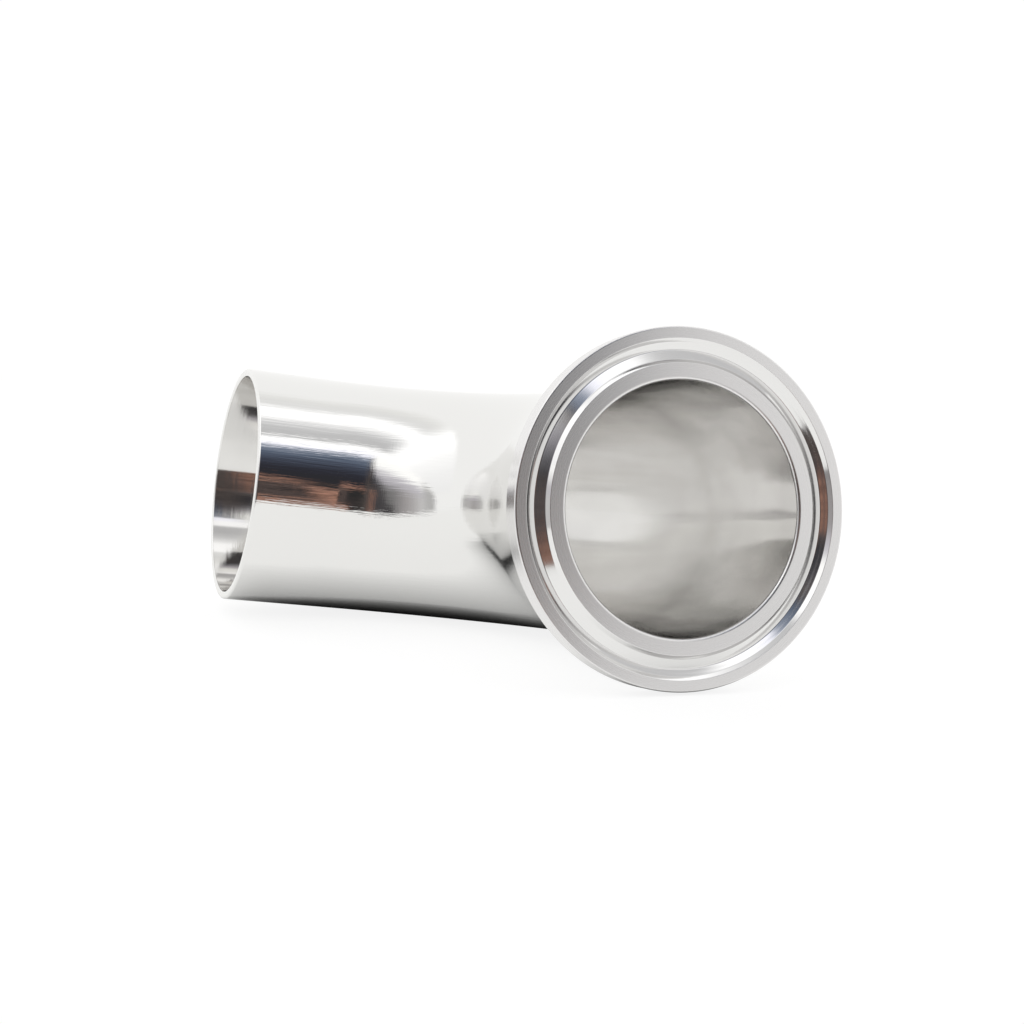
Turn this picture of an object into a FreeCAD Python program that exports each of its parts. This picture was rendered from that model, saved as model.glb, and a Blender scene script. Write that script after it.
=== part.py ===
import FreeCAD, Part
import math
import os

from FreeCAD import Vector

# Ninety degree tube elbow with one clamp ferrule, lengths in millimetres.
# The origin is the centre of the clamp face. The ferrule looks along -Y, the plain leg
# runs to -X, and the bend lies in the XY plane with +Z up.

# Tube, bent on a centreline radius of one tube diameter, with a short straight at each end
tube_diameter = 38.1
tube_wall = 1.2
bend_radius = 38.1
bend_angle = 90.0
clamp_side_straight = 12.7
plain_side_straight = 12.7
plain_end_outer_round = 0.4
plain_end_inner_round = 0.2

# Clamp ferrule, turned from bar: a flange with a tapered back on a short weld neck
ferrule_length = 12.7
flange_diameter = 50.5
rim_thickness = 3.5
back_taper = 20.0
rim_front_round = 0.25
rim_back_round = 0.7
neck_fillet = 1.6
bore_edge_round = 0.5

# Gasket groove in the clamp face: two short steep sides, and between them a V whose floor
# falls more gently from the bore than from the rim
groove_inner_diameter = 40.4
groove_width = 3.4
groove_side_width = 0.5
groove_side_angle = 45.0
groove_bore_floor_angle = 26.0
groove_rim_floor_angle = 34.0
groove_edge_round = 0.1
groove_side_round = 0.4
groove_bottom_round = 0.2

tube_radius = tube_diameter / 2
bore_radius = tube_radius - tube_wall
flange_radius = flange_diameter / 2
bend_start = ferrule_length + clamp_side_straight
bend_centre = Vector(-bend_radius, bend_start, 0)

AXIS_OF_CLAMP_END = Vector(0, 1, 0)
AXIS_OF_BEND = Vector(0, 0, 1)


def arc(centre, radius, start, end):
    """Arc in the XY plane about (x, y), from one angle to another in degrees."""
    angles = [math.radians(a) for a in (start, (start + end) / 2, end)]
    points = [Vector(centre[0] + radius * math.cos(a), centre[1] + radius * math.sin(a), 0)
              for a in angles]
    return Part.Arc(*points).toShape()


def rounded(before, corner, beyond, radius):
    """Arc that rounds the corner of an outline, from the stretch before it to the next."""
    here = Vector(*corner, 0)
    back = (Vector(*before, 0) - here).normalize()
    ahead = (Vector(*beyond, 0) - here).normalize()
    half = back.getAngle(ahead) / 2
    centre = here + (back + ahead).normalize() * radius / math.sin(half)
    middle = centre + (here - centre).normalize() * radius
    reach = radius / math.tan(half)
    return Part.Arc(here + back * reach, middle, here + ahead * reach).toShape()


def outline(pieces):
    """Closed face from arcs, with a straight edge wherever two of them don't meet."""
    edges = []
    for piece, following in zip(pieces, pieces[1:] + pieces[:1]):
        edges.append(piece)
        end = piece.valueAt(piece.LastParameter)
        start = following.valueAt(following.FirstParameter)
        if end.distanceToPoint(start) > 1e-6:
            edges.append(Part.makeLine(end, start))
    return Part.Face(Part.Wire(edges))


def tube_length(centre, direction, length):
    """Straight length of tube that starts at a centre and runs along a direction."""
    outer = Part.makeCylinder(tube_radius, length, centre, direction)
    return outer.cut(Part.makeCylinder(bore_radius, length, centre, direction))


def bent_tube():
    """The bend with its two straights, rounded at the plain end and square at the weld."""
    rings = [Part.Wire(Part.makeCircle(radius, Vector(0, bend_start, 0), AXIS_OF_CLAMP_END))
             for radius in (tube_radius, bore_radius)]
    bend = Part.Face(rings).revolve(bend_centre, AXIS_OF_BEND, bend_angle)

    weld_end = Vector(0, ferrule_length, 0)
    to_weld = tube_length(weld_end, AXIS_OF_CLAMP_END, clamp_side_straight)

    plain_leg = outline([
        arc((tube_radius - plain_end_outer_round, plain_side_straight - plain_end_outer_round),
            plain_end_outer_round, 0, 90),
        arc((bore_radius + plain_end_inner_round, plain_side_straight - plain_end_inner_round),
            plain_end_inner_round, 90, 180),
        Part.makeLine(Vector(bore_radius, 0, 0), Vector(tube_radius, 0, 0)),
    ]).revolve(Vector(0, 0, 0), Vector(0, 1, 0), 360)
    plain_leg.rotate(Vector(0, 0, 0), AXIS_OF_BEND, bend_angle)
    plain_leg.translate(bend_centre + Vector(0, bend_radius, 0))

    return bend.fuse([to_weld, plain_leg]).removeSplitter().Solids[0]


def clamp_ferrule():
    """One turned solid: its section, drawn as radius and depth, spun about the bore."""
    # The groove's corners, from the bore side to the rim side
    inner_edge = groove_inner_diameter / 2
    outer_edge = inner_edge + groove_width
    side_depth = groove_side_width * math.tan(math.radians(groove_side_angle))
    bore_slope = math.tan(math.radians(groove_bore_floor_angle))
    rim_slope = math.tan(math.radians(groove_rim_floor_angle))
    floor_width = groove_width - 2 * groove_side_width
    bore_floor_width = floor_width * rim_slope / (bore_slope + rim_slope)
    groove_depth = side_depth + bore_floor_width * bore_slope
    corners = [
        (bore_radius + bore_edge_round, 0),
        (inner_edge, 0),
        (inner_edge + groove_side_width, side_depth),
        (inner_edge + groove_side_width + bore_floor_width, groove_depth),
        (outer_edge - groove_side_width, side_depth),
        (outer_edge, 0),
        (flange_radius - rim_front_round, 0),
    ]
    rounds = [groove_edge_round, groove_side_round, groove_bottom_round,
              groove_side_round, groove_edge_round]
    groove = [rounded(*corners[place:place + 3], size) for place, size in enumerate(rounds)]

    # The back leaves the rim at the taper and dies into the neck through the fillet
    slope = math.radians(back_taper)
    neck_meets_back = rim_thickness + (flange_radius - tube_radius) * math.tan(slope)
    rim_corner = rim_back_round * math.tan((math.pi / 2 - slope) / 2)
    neck_corner = neck_fillet * math.tan((math.pi / 2 - slope) / 2)

    section = outline([
        arc((bore_radius + bore_edge_round, bore_edge_round), bore_edge_round, 180, 270),
        *groove,
        arc((flange_radius - rim_front_round, rim_front_round), rim_front_round, -90, 0),
        arc((flange_radius - rim_back_round, rim_thickness - rim_corner),
            rim_back_round, 0, 90 - back_taper),
        arc((tube_radius + neck_fillet, neck_meets_back + neck_corner),
            neck_fillet, 270 - back_taper, 180),
        Part.makeLine(Vector(tube_radius, ferrule_length, 0), Vector(bore_radius, ferrule_length, 0)),
    ])
    return section.revolve(Vector(0, 0, 0), AXIS_OF_CLAMP_END, 360)


os.makedirs("parts", exist_ok=True)
bent_tube().exportStep("parts/bent_tube.step")
clamp_ferrule().exportStep("parts/clamp_ferrule.step")
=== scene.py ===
import math

import bmesh
import bpy
from mathutils import Matrix, Vector


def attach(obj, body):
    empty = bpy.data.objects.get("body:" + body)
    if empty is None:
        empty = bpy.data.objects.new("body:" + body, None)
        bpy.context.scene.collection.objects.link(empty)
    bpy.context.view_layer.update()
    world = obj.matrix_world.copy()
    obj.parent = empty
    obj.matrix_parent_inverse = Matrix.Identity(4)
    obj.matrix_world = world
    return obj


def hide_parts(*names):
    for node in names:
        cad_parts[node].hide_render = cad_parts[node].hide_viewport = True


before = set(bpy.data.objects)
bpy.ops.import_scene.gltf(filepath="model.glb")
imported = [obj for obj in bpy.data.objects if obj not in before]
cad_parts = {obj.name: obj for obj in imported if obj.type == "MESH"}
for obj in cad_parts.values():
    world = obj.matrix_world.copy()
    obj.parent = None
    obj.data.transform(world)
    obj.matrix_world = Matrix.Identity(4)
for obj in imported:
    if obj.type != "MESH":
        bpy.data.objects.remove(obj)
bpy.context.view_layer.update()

# Bent tube: one length of thin stainless tube, drawn round a ninety degree bend, then
# polished outside and honed inside. The plain end is sawn square, faced, and its two edges
# are broken; the other end is butt welded to the ferrule.
MM = 0.001
tube_radius = 19.05 * MM
bore_radius = 17.85 * MM
bend_radius = 38.1 * MM
leg_axis_y = 63.5 * MM
plain_end_x = -50.8 * MM
weld_y = 12.7 * MM
outer_edge_round = 0.4 * MM
inner_edge_round = 0.2 * MM
bend_start_y = leg_axis_y - bend_radius

round_the_tube = 256
round_the_bend = 96
along_the_straight = 8
round_the_outer_edge = 8
round_the_inner_edge = 6
merged_within = 0.0005 * MM
close_to_the_ends = 0.03 * MM
most_of_a_short_line = 0.3


def straight_to(mesh, tip, place):
    """Draws a line from the tip. Two points close to its ends keep the shading of the flat."""
    start, end = tip.co.copy(), Vector(place)
    close = min(close_to_the_ends / (end - start).length, most_of_a_short_line)
    for share in (close, 1 - close, 1):
        tip = bmesh.ops.extrude_vert_indiv(mesh, verts=[tip])["verts"][0]
        tip.co = start.lerp(end, share)
    return tip


def arc_to(mesh, tip, centre, turn, steps):
    """Carries the tip round a centre in the XY plane, by a turn in degrees."""
    made = bmesh.ops.spin(
        mesh, geom=[tip], cent=centre, axis=(0, 0, 1), angle=math.radians(turn), steps=steps)
    return made["geom_last"][0]


def piece_from(mesh, name, sharp_above=35):
    """Closes a mesh into a smooth object with its faces outwards, and marks the sharp edges."""
    bmesh.ops.remove_doubles(mesh, verts=mesh.verts, dist=merged_within)
    bmesh.ops.recalc_face_normals(mesh, faces=mesh.faces)
    data = bpy.data.meshes.new(name)
    mesh.to_mesh(data)
    mesh.free()
    data.shade_smooth()
    data.set_sharp_from_angle(angle=math.radians(sharp_above))
    made = bpy.data.objects.new(name, data)
    bpy.context.scene.collection.objects.link(made)
    return made


wall = bmesh.new()
tip = wall.verts.new((-bend_radius, leg_axis_y + bore_radius, 0))
tip = straight_to(wall, tip, (plain_end_x + inner_edge_round, leg_axis_y + bore_radius, 0))
tip = arc_to(
    wall, tip, (tip.co.x, tip.co.y + inner_edge_round, 0), -90, round_the_inner_edge)
tip = straight_to(wall, tip, (plain_end_x, leg_axis_y + tube_radius - outer_edge_round, 0))
tip = arc_to(
    wall, tip, (tip.co.x + outer_edge_round, tip.co.y, 0), -90, round_the_outer_edge)
tip = straight_to(wall, tip, (-bend_radius, leg_axis_y + tube_radius, 0))
bmesh.ops.spin(
    wall, geom=wall.verts[:] + wall.edges[:], cent=(0, leg_axis_y, 0), axis=(1, 0, 0),
    angle=math.tau, steps=round_the_tube, use_merge=True)
bmesh.ops.remove_doubles(wall, verts=wall.verts, dist=merged_within)
open_ends = [edge for edge in wall.edges if edge.is_boundary]
bend = bmesh.ops.spin(
    wall, geom=open_ends, cent=(-bend_radius, bend_start_y, 0), axis=(0, 0, 1),
    angle=-math.pi / 2, steps=round_the_bend)
open_ends = [part for part in bend["geom_last"] if isinstance(part, bmesh.types.BMEdge)]
for stretch in range(along_the_straight):
    made = bmesh.ops.extrude_edge_only(wall, edges=open_ends)["geom"]
    moved = [part for part in made if isinstance(part, bmesh.types.BMVert)]
    bmesh.ops.translate(
        wall, verts=moved, vec=(0, (weld_y - bend_start_y) / along_the_straight, 0))
    open_ends = [part for part in made if isinstance(part, bmesh.types.BMEdge)
                 and all(vert in moved for vert in part.verts)]
bmesh.ops.bridge_loops(wall, edges=open_ends)
bent_tube = piece_from(wall, "bent_tube_polished")


def before_bending(place):
    """Where a point of the tube lay while it was straight, with its length along Y."""
    x, y, z = place
    if x < -bend_radius:
        along = bend_start_y + bend_radius * math.pi / 2 - bend_radius - x
        return (y - leg_axis_y, along, z)
    if y < bend_start_y:
        return (x, y, z)
    reach = math.hypot(x + bend_radius, y - bend_start_y)
    angle = math.atan2(y - bend_start_y, x + bend_radius)
    return (reach - bend_radius, bend_start_y + bend_radius * angle, z)


def mark_straightened(piece):
    """Keeps, as an attribute, where each point of a piece lay while the tube was straight."""
    places = piece.data.attributes.new("straightened", "FLOAT_VECTOR", "POINT")
    for vertex in piece.data.vertices:
        places.data[vertex.index].vector = before_bending(vertex.co)


def unroll(piece, reach_and_turn, widths_per_metre=5):
    """Gives a piece a UV map that runs with its length or reach in U and round it in V."""
    layer = piece.data.uv_layers.new(name="unrolled")
    for face in piece.data.polygons:
        middle = reach_and_turn(face.center)[1]
        for corner in face.loop_indices:
            place = piece.data.vertices[piece.data.loops[corner].vertex_index].co
            reach, turned = reach_and_turn(place)
            turned += round((middle - turned) / math.tau) * math.tau
            layer.data[corner].uv = (reach * widths_per_metre, turned / math.tau)


def along_and_round(place):
    """How far along the tube a point is, and its angle round the centreline."""
    across, along, up = before_bending(place)
    return along, math.atan2(up, across)


mark_straightened(bent_tube)
unroll(bent_tube, along_and_round)

OUTSIDE, BORE, CUT_END = 0, 1, 2
faced_depth = 0.3 * MM
faced_short_of_outside = 0.05 * MM
for face in bent_tube.data.polygons:
    across, along, up = before_bending(face.center)
    out = math.hypot(across, up)
    near_the_end = face.center.x < plain_end_x + faced_depth
    if near_the_end and out < tube_radius - faced_short_of_outside:
        face.material_index = CUT_END
    elif out < (tube_radius + bore_radius) / 2:
        face.material_index = BORE
    else:
        face.material_index = OUTSIDE


def node(tree, kind, sockets=None, **options):
    """Adds a node, and gives each of its sockets a value or another node's output."""
    made = tree.nodes.new("ShaderNode" + kind)
    for name, value in options.items():
        setattr(made, name, value)
    for name, value in (sockets or {}).items():
        if isinstance(value, bpy.types.NodeSocket):
            tree.links.new(value, made.inputs[name])
        else:
            made.inputs[name].default_value = value
    return made


def both(tree, first, second, operation="MULTIPLY"):
    """Two values taken together."""
    return node(tree, "Math", {0: first, 1: second}, operation=operation).outputs[0]


def ramp(tree, value, start, end, first=0.0, last=1.0):
    """A value that goes evenly from first to last while another goes from start to end."""
    return node(tree, "MapRange", {0: value, "From Min": start, "From Max": end,
                                   "To Min": first, "To Max": last}).outputs[0]


def rise(tree, value, start, end):
    """A share that runs smoothly from 0 to 1 while a value goes from start to end."""
    return node(tree, "MapRange", {0: value, "From Min": start, "From Max": end},
                interpolation_type="SMOOTHSTEP").outputs[0]


def bumped(tree, height, strength, depth, over=None):
    """A normal that follows a height, with its depth in metres, on top of another normal."""
    sockets = {"Height": height, "Strength": strength, "Distance": depth}
    if over is not None:
        sockets["Normal"] = over
    return node(tree, "Bump", sockets).outputs[0]


def new_group(name, inputs, outputs):
    """Starts a node group with named inputs and outputs: its tree and its two ends."""
    tree = bpy.data.node_groups.new(name, "ShaderNodeTree")
    for socket, kind, value in inputs:
        made = tree.interface.new_socket(
            socket, in_out="INPUT", socket_type="NodeSocket" + kind)
        if value is not None:
            made.default_value = value
    for socket, kind in outputs:
        tree.interface.new_socket(socket, in_out="OUTPUT", socket_type="NodeSocket" + kind)
    given = tree.nodes.new("NodeGroupInput").outputs
    out = tree.nodes.new("NodeGroupOutput").inputs
    return tree, given, out


def new_metal(name, colour):
    """Starts a material of bare metal and returns it, its tree and its shader."""
    made = bpy.data.materials.new(name)
    made.use_nodes = True
    shader = made.node_tree.nodes["Principled BSDF"]
    shader.inputs["Metallic"].default_value = 1.0
    shader.inputs["Base Color"].default_value = (*colour, 1)
    return made, made.node_tree, shader


# Fine scratches that a belt or a cloth leaves: thin where Spread is 1, long where it is small
scratches, given, out = new_group(
    "scratches",
    [("Vector", "Vector", None), ("Fineness", "Float", 4000.0), ("Spread", "Vector", (1, 1, 1))],
    [("Line", "Float"), ("Patch", "Float")])
stretched = node(scratches, "VectorMath", {0: given["Vector"], 1: given["Spread"]},
                 operation="MULTIPLY").outputs[0]
fine = node(scratches, "TexNoise", {
    "Vector": stretched, "Scale": given["Fineness"], "Detail": 3.0, "Roughness": 0.6})
patch = node(scratches, "TexNoise", {"Vector": given["Vector"], "Scale": 90.0, "Detail": 2.0})
scratches.links.new(fine.outputs[0], out["Line"])
scratches.links.new(patch.outputs[0], out["Patch"])

ALONG_THE_TUBE = (1, 0.03, 1)
ROUND_THE_TUBE = (0.04, 1, 0.04)

# Mirror polish of the outside: lines along the legs, and lines round the bend where the
# wheel followed it, which smear what the steel mirrors along the tube
polished, tree, shader = new_metal("polished_tube_steel", (0.84, 0.835, 0.825))
place = node(tree, "Attribute", attribute_name="straightened").outputs["Vector"]
lines = node(tree, "Group", {"Vector": place, "Fineness": 2800.0, "Spread": ALONG_THE_TUBE},
             node_tree=scratches).outputs["Line"]
wheel = node(tree, "Group", {"Vector": place, "Fineness": 4200.0, "Spread": ROUND_THE_TUBE},
             node_tree=scratches).outputs["Line"]
tree.links.new(ramp(tree, lines, 0.35, 0.75, 0.04, 0.09), shader.inputs["Roughness"])
swell = node(tree, "TexNoise", {"Vector": place, "Scale": 60.0, "Detail": 1.0}).outputs[0]
along = node(tree, "SeparateXYZ", {0: place}).outputs["Y"]
in_bend = rise(tree, along, 0.088, 0.078)
waves = bumped(tree, swell, 1.0, 0.00006)
grain = bumped(tree, lines, 0.8, 0.00002, over=waves)
cross = bumped(tree, both(tree, wheel, in_bend), 0.5, 0.00001, over=grain)
tree.links.new(cross, shader.inputs["Normal"])

# Honed bore: the hone ran round the tube, so its fine scores lean every small patch of the
# steel forwards or back along the tube, and leave a reflection sharp the other way. Near the
# plain end the facing tool's burnisher drew the steel one way, and it is calmer there
satin, tree, shader = new_metal("honed_bore_steel", (0.76, 0.75, 0.735))
place = node(tree, "Attribute", attribute_name="straightened").outputs["Vector"]
scores = node(tree, "Group", {"Vector": place, "Fineness": 1500.0, "Spread": ROUND_THE_TUBE},
              node_tree=scratches).outputs
tree.links.new(ramp(tree, scores["Patch"], 0.3, 0.7, 0.05, 0.09), shader.inputs["Roughness"])
tint = node(tree, "Mix", {
    "Factor": ramp(tree, scores["Patch"], 0.35, 0.65),
    "A": (0.79, 0.78, 0.765, 1), "B": (0.71, 0.70, 0.685, 1)}, data_type="RGBA")
tree.links.new(tint.outputs["Result"], shader.inputs["Base Color"])
reach = node(tree, "SeparateXYZ", {0: place}).outputs["Y"]
rough = ramp(tree, reach, 0.076, 0.09, 1.0, 0.15)
most_spread = 0.1
speck = node(tree, "TexWhiteNoise", {"Vector": place}, noise_dimensions="3D").outputs["Color"]
spread = node(tree, "VectorMath", {0: speck, 1: (most_spread, most_spread, most_spread)},
              operation="DOT_PRODUCT").outputs["Value"]
either_way = both(tree, spread, most_spread * 1.5, "SUBTRACT")
scatter = both(tree, either_way, rough)
most_burnished = 0.212
inner = ramp(tree, reach, 0.068, 0.086, 0.0, most_burnished)
lip = ramp(tree, reach, 0.092, 0.0985, most_burnished, 0.155)
burnished = both(tree, inner, lip, "MINIMUM")
lean = both(tree, scatter, burnished, "ADD")
along = node(tree, "Tangent", direction_type="UV_MAP", uv_map="unrolled").outputs[0]
leaning = node(tree, "VectorMath", {0: along, "Scale": lean}, operation="SCALE").outputs[0]
drawn = node(tree, "VectorMath", {0: place, 1: (1, 0.35, 1)}, operation="MULTIPLY").outputs[0]
swell = node(tree, "TexNoise", {"Vector": drawn, "Scale": 95.0, "Detail": 2.0}).outputs[0]
waves = bumped(tree, both(tree, swell, rough), 1.0, 0.00035)
grain = bumped(tree, scores["Line"], 0.3, 0.00002, over=waves)
leant = node(tree, "VectorMath", {0: grain, 1: leaning}, operation="ADD").outputs[0]
facing = node(tree, "VectorMath", {0: leant}, operation="NORMALIZE").outputs[0]
tree.links.new(facing, shader.inputs["Normal"])

# Bright facing cut of the plain end
faced, tree, shader = new_metal("faced_end_steel", (0.86, 0.855, 0.845))
place = node(tree, "TexCoord").outputs["Object"]
grit = node(tree, "Group", {"Vector": place, "Fineness": 9000.0},
            node_tree=scratches).outputs["Line"]
tree.links.new(ramp(tree, grit, 0.3, 0.7, 0.16, 0.28), shader.inputs["Roughness"])

for material in (polished, satin, faced):
    bent_tube.data.materials.append(material)
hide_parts("bent_tube")
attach(bent_tube, "root")

# Clamp ferrule: turned from stainless bar in one piece, a thin flange with a tapered back on
# a short neck. The face has the gasket groove, two short steep sides with a wide V between
# them. The flange keeps its turned finish and the neck is blended into the tube.
flange_radius = 25.25 * MM
rim_thickness = 3.5 * MM
rim_front_round = 0.25 * MM
rim_back_round = 0.7 * MM
neck_fillet = 1.6 * MM
mouth_round = 0.5 * MM
back_taper = 20
groove_inner_radius = 20.2 * MM
groove_width = 3.4 * MM
groove_side = 0.5 * MM
groove_side_angle = 45
groove_bore_floor_angle = 25
groove_rim_floor_angle = 33
groove_edge_round = 0.1 * MM
groove_side_round = 0.4 * MM
groove_bottom_round = 0.2 * MM

round_the_ferrule = 360
round_the_mouth = 10
round_each_edge = 8
round_the_rim_back = 12
round_the_fillet = 16

back_turn = 90 - back_taper
taper = math.radians(back_taper)
corner_reach = math.tan(math.radians(back_turn / 2))
neck_meets_back = rim_thickness + (flange_radius - tube_radius) * math.tan(taper)
fillet_meets_neck = neck_meets_back + neck_fillet * corner_reach

side_depth = groove_side * math.tan(math.radians(groove_side_angle))
bore_slope = math.tan(math.radians(groove_bore_floor_angle))
rim_slope = math.tan(math.radians(groove_rim_floor_angle))
bore_floor = (groove_width - 2 * groove_side) * rim_slope / (bore_slope + rim_slope)
groove_depth = side_depth + bore_floor * bore_slope
groove_outer_radius = groove_inner_radius + groove_width
groove_corners = [
    ((groove_inner_radius, 0, 0), groove_edge_round),
    ((groove_inner_radius + groove_side, side_depth, 0), groove_side_round),
    ((groove_inner_radius + groove_side + bore_floor, groove_depth, 0), groove_bottom_round),
    ((groove_outer_radius - groove_side, side_depth, 0), groove_side_round),
    ((groove_outer_radius, 0, 0), groove_edge_round)]
rim_corner = (flange_radius, 0, 0)


def round_corner(mesh, tip, corner, beyond, radius, steps):
    """Draws a line towards a corner, and rounds the corner towards the place beyond it."""
    corner, beyond = Vector(corner), Vector(beyond)
    ahead, leaving = (corner - tip.co).normalized(), (beyond - corner).normalized()
    turn = -ahead.xy.angle_signed(leaving.xy)
    left = Vector((-ahead.y, ahead.x, 0)) * math.copysign(radius, turn)
    tip = straight_to(mesh, tip, corner - ahead * radius * math.tan(abs(turn) / 2))
    return arc_to(mesh, tip, tip.co + left, math.degrees(turn), steps)


section = bmesh.new()
start = section.verts.new((bore_radius, weld_y, 0))
tip = straight_to(section, start, (bore_radius, mouth_round, 0))
tip = arc_to(section, tip, (bore_radius + mouth_round, mouth_round, 0), 90, round_the_mouth)
following = [place for place, radius in groove_corners[1:]] + [rim_corner]
for (place, radius), beyond in zip(groove_corners, following):
    tip = round_corner(section, tip, place, beyond, radius, round_each_edge)
tip = straight_to(section, tip, (flange_radius - rim_front_round, 0, 0))
tip = arc_to(section, tip, (tip.co.x, rim_front_round, 0), 90, round_each_edge)
tip = straight_to(
    section, tip, (flange_radius, rim_thickness - rim_back_round * corner_reach, 0))
tip = arc_to(section, tip, (flange_radius - rim_back_round, tip.co.y, 0),
             back_turn, round_the_rim_back)
tip = straight_to(section, tip, (
    tube_radius + neck_fillet * (1 - math.sin(taper)),
    fillet_meets_neck - neck_fillet * math.cos(taper), 0))
tip = arc_to(section, tip, (tube_radius + neck_fillet, fillet_meets_neck, 0),
             -back_turn, round_the_fillet)
tip = straight_to(section, tip, (tube_radius, weld_y, 0))
section.edges.new((tip, start))
bmesh.ops.spin(
    section, geom=section.verts[:] + section.edges[:], cent=(0, 0, 0), axis=(0, 1, 0),
    angle=math.tau, steps=round_the_ferrule, use_merge=True)
ferrule = piece_from(section, "clamp_ferrule_turned")


def reach_and_round(place):
    """How far a point is from the ferrule's axis plus along it, and its angle round it."""
    return math.hypot(place[0], place[2]) + place[1], math.atan2(place[2], place[0])


mark_straightened(ferrule)
unroll(ferrule, reach_and_round)

TURNED, NECK, MOUTH, GROOVE = 0, 1, 2, 3
honed_within = 0.02 * MM
honed_beyond = mouth_round * 0.9
blended_within = 0.3 * MM
for face in ferrule.data.polygons:
    out = math.hypot(face.center.x, face.center.z)
    if out < bore_radius + honed_within and face.center.y > honed_beyond:
        face.material_index = MOUTH
    elif out < tube_radius + blended_within and face.center.y > rim_thickness:
        face.material_index = NECK
    elif groove_inner_radius < out < groove_outer_radius and face.center.y < groove_depth:
        face.material_index = GROOVE
    else:
        face.material_index = TURNED

# Marks of the lathe tool: rings about Y, a Pitch apart, as a height
turning, given, out = new_group(
    "turning_rings", [("Vector", "Vector", None), ("Pitch", "Float", 0.0001)],
    [("Ring", "Float")])
apart = node(turning, "SeparateXYZ", {0: given["Vector"]}).outputs
from_axis = node(turning, "VectorMath", {
    0: node(turning, "CombineXYZ", {"X": apart["X"], "Y": apart["Z"]}).outputs[0],
}, operation="LENGTH").outputs["Value"]
profile = both(turning, from_axis, apart["Y"], "ADD")
count = both(turning, profile, given["Pitch"], "DIVIDE")
ring = node(turning, "TexNoise", {"W": count, "Scale": 1.0, "Detail": 2.0},
            noise_dimensions="1D")
turning.links.new(ring.outputs[0], out["Ring"])


def turned_metal(name, colour, pitch, smoothest, roughest, depth):
    """A metal with the rings of the tool, from the pitch and depth of its cut in metres."""
    made, tree, shader = new_metal(name, colour)
    place = node(tree, "TexCoord").outputs["Object"]
    rings = node(tree, "Group", {"Vector": place, "Pitch": pitch},
                 node_tree=turning).outputs["Ring"]
    tree.links.new(ramp(tree, rings, 0.3, 0.7, smoothest, roughest), shader.inputs["Roughness"])
    tree.links.new(bumped(tree, rings, 0.3, depth), shader.inputs["Normal"])
    return made, tree, shader


turned, tree, shader = turned_metal(
    "turned_flange_steel", (0.84, 0.83, 0.83), 0.00006, 0.2, 0.28, 0.000004)
shader.inputs["Anisotropic"].default_value = 0.6
tree.links.new(
    node(tree, "Tangent", direction_type="UV_MAP", uv_map="unrolled").outputs[0],
    shader.inputs["Tangent"])

# The groove was cut last, with a sharper tool
bright = turned_metal(
    "bright_groove_steel", (0.84, 0.835, 0.83), 0.0001, 0.08, 0.13, 0.000003)[0]

for material in (turned, polished, satin, bright):
    ferrule.data.materials.append(material)
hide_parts("clamp_ferrule")
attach(ferrule, "root")

# White table top, a matt board: it meets the rim of the flange and the underside of the
# bend, on which the elbow lies, so it leans a little in the frame of the part
table_up = Vector((-0.09709, -0.14055, 0.98530)).normalized()
table_below = 25.429 * MM
table_back = (Vector((0, 1, 0)) - table_up * table_up.y).normalized()
table_right = table_back.cross(table_up)
paper_to_the_eye = 0.78
white_in_the_steel = 0.9


def on_the_table(right, back, up):
    """A point in the part's frame, from millimetres over the table under the clamp end."""
    return ((table_right * right + table_back * back + table_up * up) * MM
            - table_up * table_below)


def card(name, corners, material):
    """A flat card on the stage, from its corners in millimetres over the table."""
    mesh = bmesh.new()
    mesh.faces.new([mesh.verts.new(on_the_table(*place)) for place in corners])
    made = piece_from(mesh, name)
    made.data.materials.append(material)
    return made


white_table = bpy.data.materials.new("white_table_top")
white_table.use_nodes = True
tree = white_table.node_tree
shader = tree.nodes["Principled BSDF"]
shader.inputs["Base Color"].default_value = (0.93, 0.93, 0.925, 1)
shader.inputs["Roughness"].default_value = 0.7
shader.inputs["Specular IOR Level"].default_value = 0.1
path = node(tree, "LightPath").outputs
# Painted shadow: in the steel the table is a white glow, darkened by ambient occlusion close to
# the elbow, so its contact shadow there is painted, not lit
near_by = node(tree, "AmbientOcclusion", {"Distance": 0.0025}, samples=8).outputs["AO"]
around = node(tree, "AmbientOcclusion", {"Distance": 0.009}, samples=8).outputs["AO"]
painted_contact_shadow = both(tree, both(tree, near_by, 2.0, "POWER"), both(tree, around, 0.5, "POWER"))
glow_with_painted_shadow = node(tree, "Emission", {"Color": (1, 1, 0.985, 1), "Strength": painted_contact_shadow})
paper = node(tree, "Emission", {"Color": (1, 1, 1, 1), "Strength": 1.1})
seen = both(tree, path["Is Camera Ray"], paper_to_the_eye)
looked_at = node(tree, "MixShader", {0: seen, 1: shader.outputs[0], 2: paper.outputs[0]})
in_steel = both(tree, path["Is Glossy Ray"], path["Is Transmission Ray"], "MAXIMUM")
mixed = node(tree, "MixShader", {
    0: both(tree, in_steel, white_in_the_steel), 1: looked_at.outputs[0],
    2: glow_with_painted_shadow.outputs[0]})
below = node(tree, "NewGeometry").outputs["Backfacing"]
clear = node(tree, "BsdfTransparent")
top = node(tree, "MixShader", {
    0: both(tree, below, path["Is Camera Ray"]), 1: mixed.outputs[0], 2: clear.outputs[0]})
tree.links.new(top.outputs[0], tree.nodes["Material Output"].inputs["Surface"])
card("table_top", [(-1500, -80, 0), (1200, -80, 0), (1200, 900, 0), (-1500, 900, 0)],
     white_table)


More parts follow.
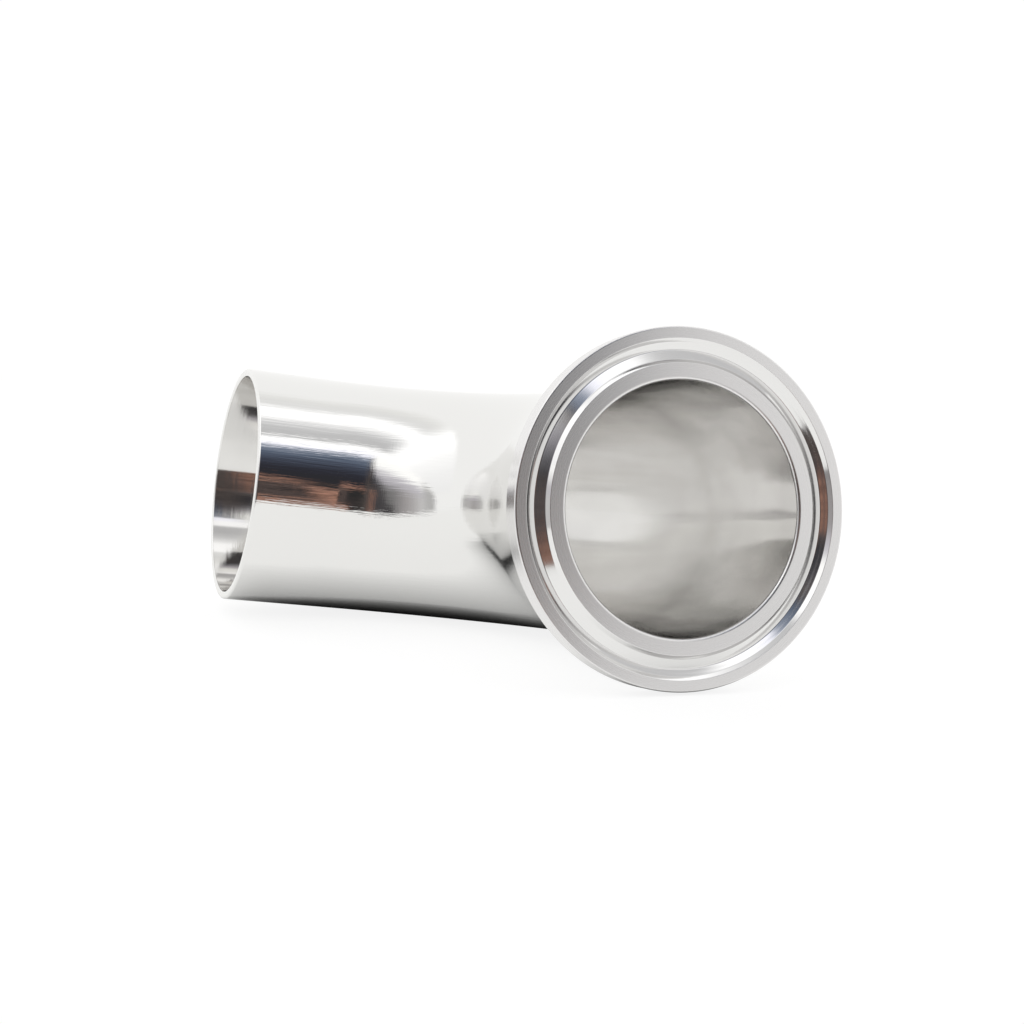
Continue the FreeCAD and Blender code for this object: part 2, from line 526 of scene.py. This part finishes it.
# Open front of the tent, one card that only glows: a dark room, bluish where it is high,
# between white side walls, with timber low in it and strips of copper in front of the timber
def glowing(name):
    """A material for a stage card that only sends out light: its tree and its emission, and
    how far right, back and up a point of the card is over the table, in metres."""
    made = bpy.data.materials.new(name)
    made.use_nodes = True
    tree = made.node_tree
    tree.nodes.remove(tree.nodes["Principled BSDF"])
    light = node(tree, "Emission", {"Strength": 1.0})
    tree.links.new(light.outputs[0], tree.nodes["Material Output"].inputs["Surface"])
    place = node(tree, "TexCoord").outputs["Object"]
    lifted = node(tree, "VectorMath", {0: place, 1: table_up * table_below}).outputs[0]
    right, back, up = (
        node(tree, "VectorMath", {0: lifted, 1: axis}, operation="DOT_PRODUCT").outputs["Value"]
        for axis in (table_right, table_back, table_up))
    return made, light, place, right, back, up


def band(tree, value, start, full, fading, end):
    """A share that rises from start to full and falls again from fading to end."""
    return both(tree, rise(tree, value, start, full), rise(tree, value, end, fading))


def blend(tree, share, first, second):
    """A colour that goes from the first to the second with a share."""
    first, second = (
        (*colour, 1) if isinstance(colour, tuple) else colour for colour in (first, second))
    return node(tree, "Mix", {"Factor": share, "A": first, "B": second},
                data_type="RGBA").outputs["Result"]


def graded(tree, value, stops):
    """Colours that follow a value in metres, from a list of millimetres and colour."""
    first, last = stops[0][0], stops[-1][0]
    colours = node(tree, "ValToRGB", {0: ramp(tree, value, first * MM, last * MM)})
    elements = colours.color_ramp.elements
    elements.remove(elements[1])
    for count, (place, colour) in enumerate(stops):
        element = elements[0] if count == 0 else elements.new((place - first) / (last - first))
        element.position = (place - first) / (last - first)
        element.color = (*colour, 1)
    return colours.outputs[0]


opening, light, place, right, _, up = glowing("open_front")
tree = opening.node_tree
blotches = node(tree, "TexNoise", {"Vector": place, "Scale": 22.0, "Detail": 3.0}).outputs[0]
wander = ramp(tree, blotches, 0.3, 0.7, -0.015, 0.015)
ragged_right = both(tree, right, wander, "ADD")
ragged_up = both(tree, up, wander, "ADD")
boards = node(tree, "VectorMath", {
    0: node(tree, "CombineXYZ", {"X": right, "Z": up}).outputs[0], 1: (30, 1, 150)},
    operation="MULTIPLY").outputs[0]
streaks = node(tree, "TexNoise", {"Vector": boards, "Scale": 1.0, "Detail": 3.0}).outputs[0]
streaky = rise(tree, streaks, 0.40, 0.58)

room = graded(tree, up, [
    (0, (0.05, 0.04, 0.04)), (60, (0.03, 0.03, 0.03)), (150, (0.03, 0.03, 0.04)),
    (200, (0.06, 0.07, 0.10)), (250, (0.12, 0.15, 0.21)), (300, (0.32, 0.36, 0.44)),
    (320, (1.2, 1.2, 1.3))])
bench = both(tree, rise(tree, ragged_up, 0.055, 0.02), rise(tree, ragged_right, -0.02, -0.09))
timber = both(tree, rise(tree, ragged_right, 0.022, 0.014), rise(tree, up, 0.105, 0.090))
timber = both(tree, timber, rise(tree, right, -0.022, -0.008))

across = both(tree, band(tree, up, 0.078, 0.084, 0.093, 0.100),
              both(tree, rise(tree, right, 0.027, 0.020), 0.7))
upright = both(tree, band(tree, right, 0.0190, 0.0225, 0.027, 0.0315),
               rise(tree, up, 0.070, 0.060))
foot = both(tree, band(tree, right, -0.035, -0.025, 0.024, 0.027),
            both(tree, rise(tree, up, 0.003, -0.004), 0.6))
strips = both(tree, across, both(tree, upright, foot, "MAXIMUM"), "MAXIMUM")

post = both(tree, rise(tree, right, -0.082, -0.094), rise(tree, up, 0.318, 0.306))
left_of_it = rise(tree, right, -0.102, -0.110)
dark_above = both(tree, left_of_it, rise(tree, up, 0.10, 0.13))
grey_below = both(tree, left_of_it, rise(tree, up, 0.12, 0.10))
left_strip = both(tree, band(tree, right, -0.134, -0.128, -0.117, -0.112),
                  rise(tree, up, 0.105, 0.090))

for share, colour in (
        (bench, blend(tree, rise(tree, blotches, 0.4, 0.6),
                      (0.030, 0.028, 0.028), (0.080, 0.070, 0.067))),
        (timber, blend(tree, streaky, (0.040, 0.033, 0.033), (0.120, 0.090, 0.082))),
        (strips, blend(tree, streaky, (0.32, 0.165, 0.115), (0.62, 0.33, 0.24))),
        (post, blend(tree, streaky, (0.060, 0.049, 0.046), (0.110, 0.092, 0.085))),
        (dark_above, (0.03, 0.03, 0.035)),
        (grey_below, blend(tree, streaky, (0.050, 0.047, 0.050), (0.085, 0.080, 0.083))),
        (left_strip, blend(tree, streaky, (0.16, 0.09, 0.07), (0.34, 0.18, 0.13)))):
    room = blend(tree, share, room, colour)

# The left wall's near edge leans out towards the table, and its far part is in half shade
from_the_top = both(tree, 0.3, up, "SUBTRACT")
leant_out = both(tree, both(tree, from_the_top, from_the_top), 1.4)
from_edge = both(tree, both(tree, right, leant_out, "ADD"), 0.090, "ADD")
soft_edge = rise(tree, both(tree, from_edge, wander, "ADD"), 0.01, -0.075)
crisp_edge = rise(tree, from_edge, 0.004, -0.028)
left_wall = node(tree, "Mix", {
    "Factor": rise(tree, up, 0.12, 0.22), "A": soft_edge, "B": crisp_edge}).outputs["Result"]
shaded = graded(tree, right, [
    (-1100, (1.0, 1.0, 1.0)), (-600, (0.65, 0.64, 0.64)), (-350, (0.40, 0.38, 0.38)),
    (-235, (0.22, 0.215, 0.215)), (-140, (0.20, 0.195, 0.195))])
half_lit = blend(tree, rise(tree, up, 0.10, 0.19), shaded, (0.60, 0.58, 0.62))
lit = blend(tree, rise(tree, up, 0.19, 0.275), half_lit, (1.20, 1.20, 1.18))
seen = blend(tree, left_wall, room, lit)

# The right wall leans away with height, and its far part is paler
right_edge = both(tree, both(tree, up, 0.35), -0.03, "ADD")
right_wall = rise(tree, both(tree, right, right_edge, "SUBTRACT"), 0.055, 0.10)
paler = blend(tree, rise(tree, right, 0.05, 0.2), (0.5, 0.49, 0.49), (0.95, 0.95, 0.94))
seen = blend(tree, right_wall, seen, paler)

# Far to the left the wall falls back into grey
far_end = both(tree, rise(tree, right, -0.50, -0.80), rise(tree, up, 0.36, 0.27))
far_end = both(tree, far_end, rise(tree, right, -1.45, -1.15))
seen = blend(tree, far_end, seen, (0.52, 0.515, 0.51))
tree.links.new(seen, light.inputs["Color"])
front = card("open_front", [
    (-1500, -220, -60), (500, -220, -60), (500, -220, 360), (-1500, -220, 360)], opening)
front.visible_camera = False

# Ceiling of soft lamps behind white cloth, with an unlit bar between the front lamps and the
# main one. To the left the lamps run on evenly
ceiling, light, _, right, back, _ = glowing("lamp_ceiling")
tree = ceiling.node_tree
lamps = graded(tree, back, [
    (-260, (1.2, 1.2, 1.22)), (-172, (1.3, 1.3, 1.3)), (-155, (0.62, 0.62, 0.625)),
    (-105, (0.60, 0.60, 0.605)), (-62, (0.74, 0.74, 0.745)), (-26, (1.05, 1.05, 1.05)),
    (-5, (1.3, 1.3, 1.3)), (50, (1.3, 1.3, 1.3)), (66, (0.95, 0.95, 0.945)),
    (100, (0.85, 0.85, 0.84)), (138, (0.90, 0.90, 0.88)), (175, (1.0, 1.0, 0.985))])
side_lamps = graded(tree, right, [
    (-1200, (1.0, 1.0, 1.0)), (-600, (1.05, 1.05, 1.05)), (-380, (1.15, 1.15, 1.15)),
    (-250, (1.3, 1.3, 1.3))])
lamps = blend(tree, rise(tree, right, -0.12, -0.21), lamps, side_lamps)
tree.links.new(lamps, light.inputs["Color"])
above = card("lamp_ceiling", [
    (-1500, -260, 350), (500, -260, 350), (500, 175, 350), (-1500, 175, 350)], ceiling)
above.visible_camera = False

# White tent round the table: a little brighter to the eye and in the steel than as light
light_of_the_tent = 0.95
white_of_the_tent = 1.02
world = bpy.data.worlds.new("white_tent")
bpy.context.scene.world = world
world.use_nodes = True
tree = world.node_tree
tent = tree.nodes["Background"]
tent.inputs["Color"].default_value = (1, 1, 0.99, 1)
path = node(tree, "LightPath").outputs
eye_or_steel = both(tree, path["Is Camera Ray"], path["Is Glossy Ray"], "MAXIMUM")
looked_at = both(tree, eye_or_steel, path["Is Transmission Ray"], "MAXIMUM")
tree.links.new(ramp(tree, looked_at, 0.0, 1.0, light_of_the_tent, white_of_the_tent),
               tent.inputs["Strength"])

# Camera at the photograph's viewpoint, low and to the left of the clamp end
camera_place = Vector((-95.63, -184.96, -12.88)) * MM
turn, climb, roll = (math.radians(value) for value in (-20.775, -2.850, 5.183))
camera_data = bpy.data.cameras.new("camera")
camera_data.sensor_width = 36
camera_data.lens = 52.93
camera_data.clip_start = 0.005
camera = bpy.data.objects.new("camera", camera_data)
bpy.context.scene.collection.objects.link(camera)
camera_back = Vector((
    math.sin(turn) * math.cos(climb), -math.cos(turn) * math.cos(climb), math.sin(climb)))
camera_right = Vector((math.cos(turn), math.sin(turn), 0))
camera_up = camera_right.cross(-camera_back)
axes = Matrix((
    camera_right * math.cos(roll) + camera_up * math.sin(roll),
    camera_up * math.cos(roll) - camera_right * math.sin(roll),
    camera_back)).transposed()
camera.matrix_world = Matrix.Translation(camera_place) @ axes.to_4x4()
bpy.context.scene.camera = camera

bpy.context.scene.view_settings.view_transform = "Standard"
